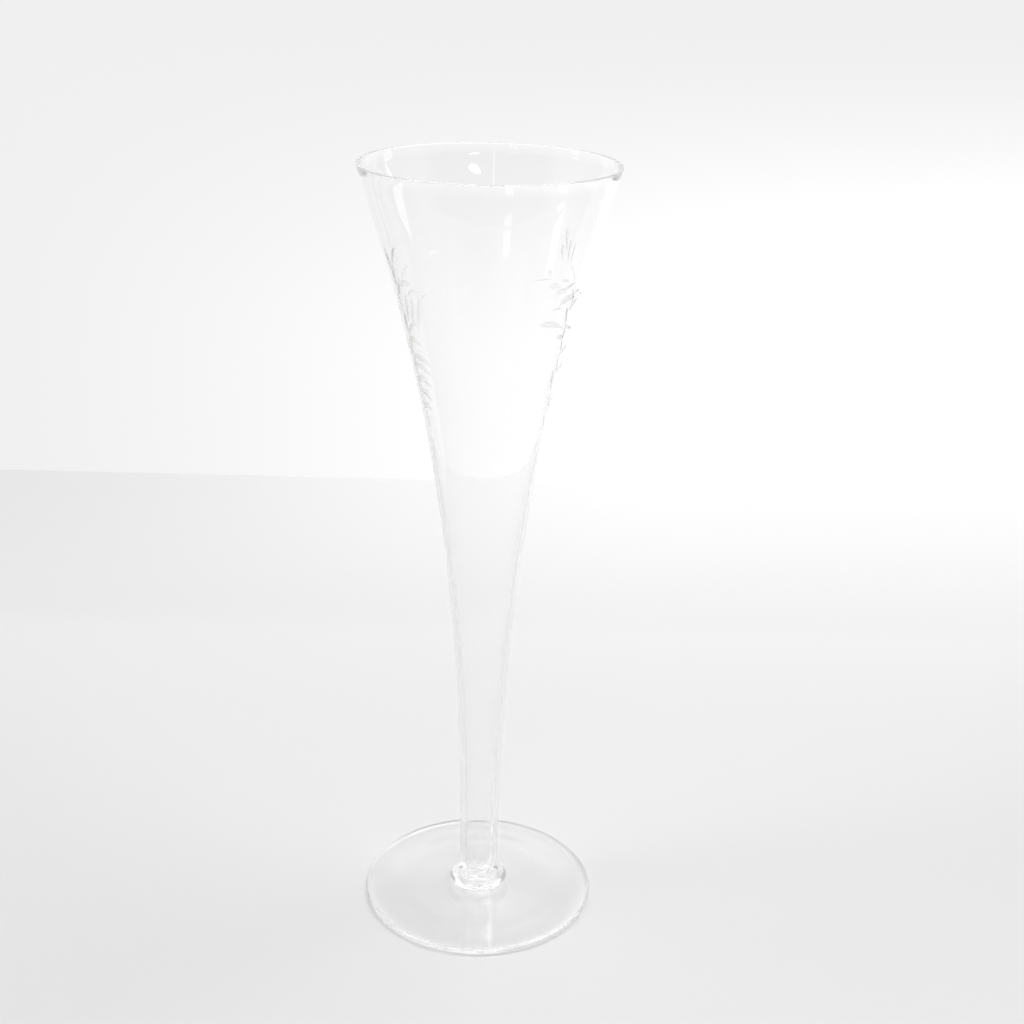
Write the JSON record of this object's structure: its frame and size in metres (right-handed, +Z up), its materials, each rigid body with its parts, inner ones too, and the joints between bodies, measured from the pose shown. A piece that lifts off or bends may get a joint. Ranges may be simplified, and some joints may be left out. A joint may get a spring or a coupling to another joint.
{
  "type": "champagne flute",
  "caption": "Tall clear drinking glass for sparkling wine: a flared trumpet bowl drawn down into a hollow stem, a small merese and a round foot to stand on.",
  "frame": {"origin": "centre of the foot, on the surface that the glass stands on", "axes": "+Z up along the axis of the glass, from the foot to the rim"},
  "size_m": [0.072, 0.072, 0.232],
  "materials": {
    "bowl_glass": "blown and fire-polished clear crystal glass, 1 mm thick at the rim, with matt wheel-engraved sprays on two sides",
    "merese_glass": "fire-polished clear crystal glass",
    "foot_glass": "fire-polished clear crystal glass, with a rounded edge"
  },
  "bodies": {
    "root": {"bowl": "bowl_glass", "merese": "merese_glass", "foot": "foot_glass"}
  },
  "joints": []
}
